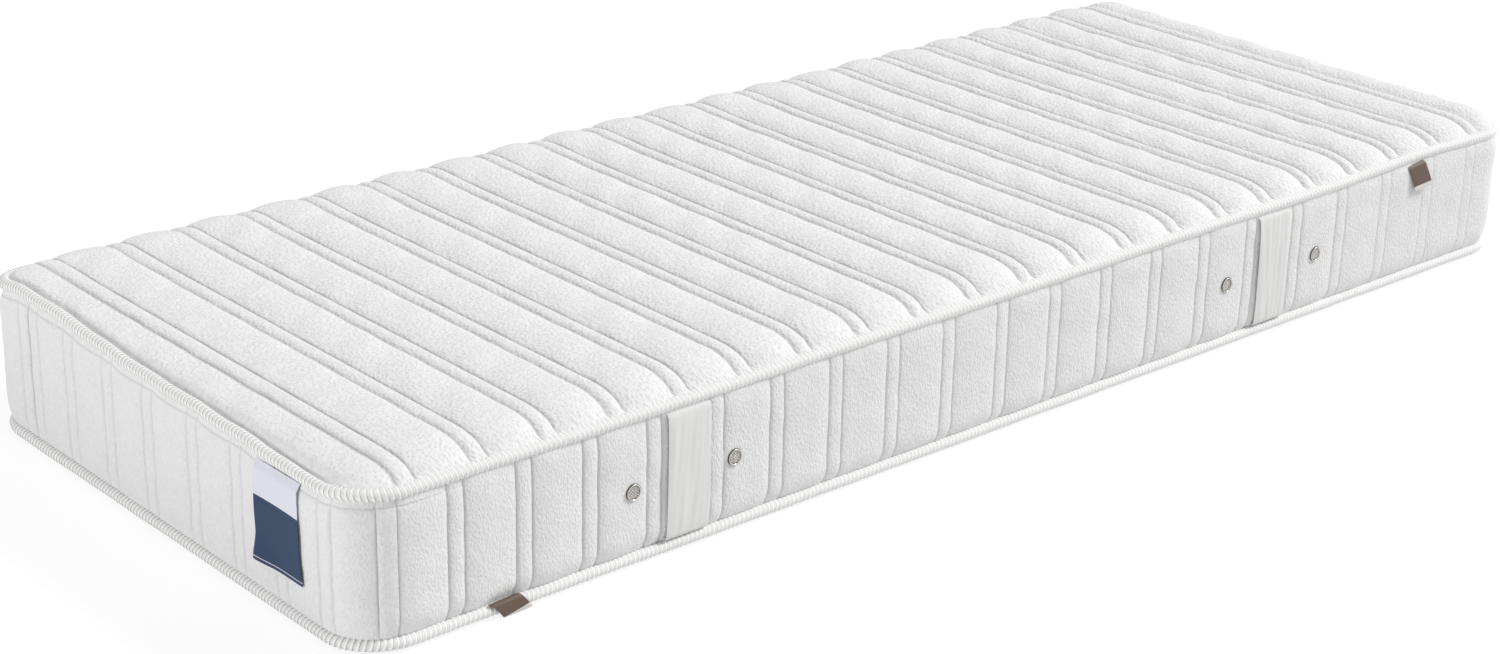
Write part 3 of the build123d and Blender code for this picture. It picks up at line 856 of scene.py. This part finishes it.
def handle_strap(name, x_middle, shift, askew, side, body, *stands_for):
    """Strap from seam to seam; the tilt presses one edge in."""
    (out, z), length = along_line(strap_stations, 60)
    across = np.linspace(-0.5, 0.5, 26) * strap_width
    middle_part = smooth((out - valley_out) / (strap_stand - valley_out))[:, None]
    lean = across[None] * -side / strap_width
    crease = crease_depth * wander(across[None], z[:, None] * crease_stretch, crease_width)
    out_grid = out[:, None] + middle_part * (-press_in - tilt * smooth(lean + 0.5) + crease)
    sideways = askew * (z[:, None] - mid_z) / mid_z + shift
    grid = on_side(side, x_middle + sideways + across[None] * -side, out_grid, z[:, None])
    cloth = np.stack(np.broadcast_arrays(across[None], length[:, None]), axis=-1)
    piece = cloth_strip(name, grid, strap_thickness, webbing, cloth)
    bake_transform(piece)
    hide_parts(*stands_for)


for place_name, shift, askew in (("foot", -3.0, 1.2), ("head", 1.5, -3.0)):
    for side_name, side in (("front", -1), ("back", 1)):
        body = f"handle_{side_name}_{place_name}"
        grip_low, grip_high = box_of(f"{body}_grip")
        x_middle = 0.5 * (grip_low[0] + grip_high[0])
        handle_strap(f"strap_{side_name}_{place_name}", x_middle, shift, askew, side, body,
                     f"{body}_grip", f"{body}_ends")
        print("strap at x", x_middle, "mm,", strap_width, "mm wide")

# %% [markdown]
# The label at the foot end is a satin print with a pale upper field and a dark blue lower one. It hangs
# from the seam and its lower corner curls off the border. The two small tags are brown satin ribbon with a
# pale strip at the end; the lower one is laid over the bead of the tape.

# %% Foot label
label_y, label_half_width, label_thickness = -255, 44.5, 0.7
label_bow, label_curl, label_ruffle, label_askew = 1.6, 5.0, 0.5, 4
label_stations = [(valley_out, valley_z), (0.8, 164.6), (1.4, 110), (1.6, 58.5)]
(out, z), label_length = along_line(label_stations, 44)
across = np.linspace(-label_half_width, label_half_width, 30)[None]
t = (label_length / label_length[-1])[:, None]
bowed = label_bow * np.sin(np.pi * t) * (across / 47) ** 2
corner_curl = label_curl * smooth((t - 0.72) / 0.28) * smooth((-across / 47 + 0.1) / 1.1)
ruffle = label_ruffle * np.sin(9 * t + across / 30) * t
drawn_in = 0.93 + 0.05 * t  # the sides are drawn in most at the seam
label_grid = np.stack(np.broadcast_arrays(
    -(seam_half_length + bead_radius) - out[:, None] - (bowed + corner_curl + ruffle),
    label_y - across * drawn_in - label_askew * t,
    z[:, None] - 0.02 * across * t), axis=-1)
label_cloth = np.stack(np.broadcast_arrays(across, label_length[:, None]), axis=-1)
label_piece = cloth_strip("satin_foot_label", label_grid, label_thickness, label_satin, label_cloth)
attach(label_piece, "foot_label")
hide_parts("foot_label")

# %% Tape tags
tag_thickness, tag_shear, tag_lift = 0.9, 17.0, 1.5


def ribbon_tag(name, x_middle, width, stations, twist, slant, body):
    """Ribbon from the front seam, sheared sideways as it falls; slant tilts the edge of its pale strip."""
    (out, z), length = along_line(stations, 26)
    across = np.linspace(-0.5, 0.5, 16)[None] * width
    t = (length / length[-1])[:, None]
    x = x_middle + across + tag_shear * t
    lifted = tag_lift * smooth((t - 0.4) / 0.6) * (1 + across / width)
    grid = on_side(-1, x, out[:, None] + lifted, z[:, None] + twist * across)
    from_end = (length - length[-1])[:, None] + slant * (across - 0.5 * width)
    cloth = np.stack(np.broadcast_arrays(across, from_end), axis=-1)
    piece = cloth_strip(name, grid, tag_thickness, ribbon, cloth)
    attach(piece, body)
    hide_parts(body)


top_tag_stations = [(valley_out, 179.0), (0.8, 174.0), (3.0, 159.0), (4.0, 141.0)]
bottom_tag_stations = [(valley_out, 19.1), (-1.2, 19.6), (1.4, 17.6), (2.4, 11.5), (2.0, 6.0), (0.6, 1.5)]
ribbon_tag("ribbon_top_tag", 761.0, 37.0, top_tag_stations, 0.08, 0.0, "top_tape_tag")
ribbon_tag("ribbon_bottom_tag", tag_x, 38.0, bottom_tag_stations, 0.06, 0.15, "bottom_tape_tag")

# %% [markdown]
# ## Air vents
# Each vent is a thin nickel-plated ring pressed through the border, with a woven wire gauze in its mouth.
# The ring is a profile turned about the vent's axis; Blender's Spin would turn it too, but a loop over the
# vents makes all eight as one piece. A wire is a tube along a chord of the mouth that goes over and under
# its neighbours as a cosine; the two directions are half a wave apart.

# %% Vent rings
vent_centres = [(x, side) for side in (-1, 1) for x in vent_x]
ring_profile = np.array([(10.2, -1.5), (10.2, 0.4), (9.9, 1.2), (9.3, 1.6),
                         (8.6, 1.5), (8.1, 1.0), (7.8, 0.2), (7.7, -2.0)])  # radius, out
# Share of painted highlight on each profile point: 1 on the rounded crest, 0 at the edges and in the mouth,
# which get painted dark reflections and shade.
ring_highlight_share = np.array([0, 0, 0.3, 1, 1, 0.5, 0, 0])
turned = np.arange(48) * 2 * np.pi / 48
radius, out = ring_profile[:, :1], ring_profile[:, 1:] + 0 * turned
ring_points, ring_faces = [], []
for x_vent, side in vent_centres:
    points = on_side(side, x_vent - side * radius * np.cos(turned), out, vent_z + radius * np.sin(turned))
    faces = grid_faces(points.shape[:2], wrap_v=True, first=len(ring_points) * out.size)
    ring_points.append(points.reshape(-1, 3))
    ring_faces.append(faces[:, ::-1])
rim_highlight_values = np.tile(np.repeat(ring_highlight_share, len(turned)), len(vent_centres))
ring_piece = add_piece("turned_vent_rings", np.concatenate(ring_points), np.concatenate(ring_faces),
                       rim_nickel, values={"crest": rim_highlight_values}, sharp=60)
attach(ring_piece, "mattress")
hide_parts("vent_rims")

# %% Vent gauze
gauze_step, gauze_radius, gauze_out = 2.0, 7.9, 0.1
wire_radius, wire_wave = 0.42, 0.45
offsets = np.arange(-3, 4) * gauze_step
around = np.arange(5) * 2 * np.pi / 5
chord = np.sqrt(np.maximum(gauze_radius**2 - offsets**2, 0.01))
along = chord[:, None] * np.linspace(-1, 1, 29)[None]
wire_points, wire_faces = [], []
for x_vent, side in vent_centres:
    for direction in (0, 1):
        phase = along / gauze_step + np.arange(len(offsets))[:, None] + direction
        over = wire_wave * np.cos(np.pi * phase)
        u = along[..., None] + 0 * around
        v = offsets[:, None, None] + wire_radius * np.cos(around)
        out = gauze_out + over[..., None] + wire_radius * np.sin(around)
        u, v = (u, v) if direction == 0 else (v, u)
        for wire in on_side(side, x_vent + u, out, vent_z + v):
            first = len(wire_points) * wire[..., 0].size
            wire_faces.append(grid_faces(wire.shape[:2], wrap_v=True, first=first))
            wire_points.append(wire.reshape(-1, 3))
gauze_piece = add_piece("woven_vent_gauze", np.concatenate(wire_points), np.concatenate(wire_faces),
                        gauze_wire)
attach(gauze_piece, "mattress")
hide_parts("vent_meshes")

# %% [markdown]
# ## Inside the cover
# The foams, the backings and the washers don't show on a closed mattress, but they are separate pieces and
# get their own materials, so the part can be opened up or taken apart.

# %% Materials of the hidden pieces
inside = {"memory_foam_layer": memory_cells, "core_foam": core_cells, "base_foam_layer": base_cells,
          "top_panel_backing": fleece, "bottom_panel_backing": fleece, "border_backing": fleece,
          "vent_washers": nickel}
for node_name, material in inside.items():
    mesh = nodes[node_name].data
    mesh.materials.clear()
    mesh.materials.append(material)
print("hidden pieces given their materials:", len(inside))

# %% [markdown]
# ## Floor and light
# The floor is white and keeps a faint shadow. More light would make it white too, but it would bleach the
# cloth. So it glows most of the way to white where the camera sees it, and the rest is lit, which keeps the
# shadow under the edge.

# %% Floor
def seen_rays(tree):
    """1 where the camera sees a surface, straight, in a reflection or through glass, else 0: the greatest of
    the three."""
    rays = add_node(tree, "ShaderNodeLightPath")
    seen = add_node(tree, "ShaderNodeMath", {0: (rays, "Is Camera Ray"), 1: (rays, "Is Glossy Ray")},
                    operation="MAXIMUM")
    return add_node(tree, "ShaderNodeMath", {0: (seen, "Value"), 1: (rays, "Is Transmission Ray")},
                    operation="MAXIMUM")


floor_half, floor_drop = 30, 0.0005  # metres; the drop keeps the floor clear of the underside
floor_grey, floor_lit, floor_glow = 0.8, 0.2, 0.86  # unseen reflectance, seen reflectance, seen glow
floor_mesh = bpy.data.meshes.new("floor")
floor_corners = [(-floor_half, -floor_half, 0), (floor_half, -floor_half, 0),
                 (floor_half, floor_half, 0), (-floor_half, floor_half, 0)]
floor_mesh.from_pydata(floor_corners, [], [(0, 1, 2, 3)])
floor = bpy.data.objects.new("floor", floor_mesh)
bpy.context.scene.collection.objects.link(floor)
floor.location.z = -floor_drop
floor_paint, tree, shader = new_material("white studio floor")
tree.nodes.remove(shader)
seen = seen_rays(tree)
plain = add_node(tree, "ShaderNodeBsdfDiffuse", Color=(floor_grey, floor_grey, floor_grey, 1))
part_lit = add_node(tree, "ShaderNodeBsdfDiffuse", Color=(floor_lit, floor_lit, floor_lit, 1))
glow = add_node(tree, "ShaderNodeEmission", Color=(1, 1, 1, 1), Strength=floor_glow)
white = add_node(tree, "ShaderNodeAddShader", {0: (part_lit, "BSDF"), 1: (glow, "Emission")})
choose = add_node(tree, "ShaderNodeMixShader", {0: (seen, "Value"), 1: (plain, "BSDF"), 2: (white, "Shader")})
tree.links.new(choose.outputs["Shader"], tree.nodes["Material Output"].inputs["Surface"])
floor_mesh.materials.append(floor_paint)
print("floor", 2 * floor_half, "m wide")

# %% [markdown]
# The world lights the mattress evenly, at less than half strength, and is white where the camera or a
# reflection sees it.

# %% World
world = bpy.data.worlds.new("studio")
bpy.context.scene.world = world
world.use_nodes = True
tree = world.node_tree
background = tree.nodes["Background"]
seen = seen_rays(tree)
brightness = add_node(tree, "ShaderNodeMapRange", {"Value": (seen, "Value")}, To_Min=0.42, To_Max=1.0)
set_inputs(background, Color=(1, 1, 1, 1))
tree.links.new(brightness.outputs["Result"], background.inputs["Strength"])
bpy.context.scene.view_settings.view_transform = "Standard"
print("world", world.name, "shown as", bpy.context.scene.view_settings.view_transform)

# %% [markdown]
# A wide distant key lamp comes from the front and the head, a low soft panel fills the foot end, and a
# small one lifts the head end. A lamp shines along its own -Z, as a camera looks, so its back direction
# points away from its aim.

# %% Lamps
def soft_lamp(name, place, aim, size, power, kind="AREA"):
    """Lamp turned to face a point: a square panel by its side in metres, or a far one by its angle."""
    data = bpy.data.lights.new(name, kind)
    setattr(data, "size" if kind == "AREA" else "angle", size)
    data.energy = power
    away = np.array(place, float) - np.array(aim, float)
    away /= np.linalg.norm(away)
    side = np.cross((0, 0, 1), away)
    side /= np.linalg.norm(side)
    put_in_scene(bpy.data.objects.new(name, data), side, np.cross(away, side), away, place)


soft_lamp("key", (7.6, -4.2, 7.9), (0, 0, 0.1), math.radians(17), 2.2, kind="SUN")
soft_lamp("fill", (-5.4, 0.2, 0.3), (-0.9, 0, 0.1), 2.4, 134)
soft_lamp("head end", (0.95, -0.7, 2.4), (0.9, 0, 0.2), 1.2, 7.5)
print("lamps:", [lamp.name for lamp in bpy.data.lights])
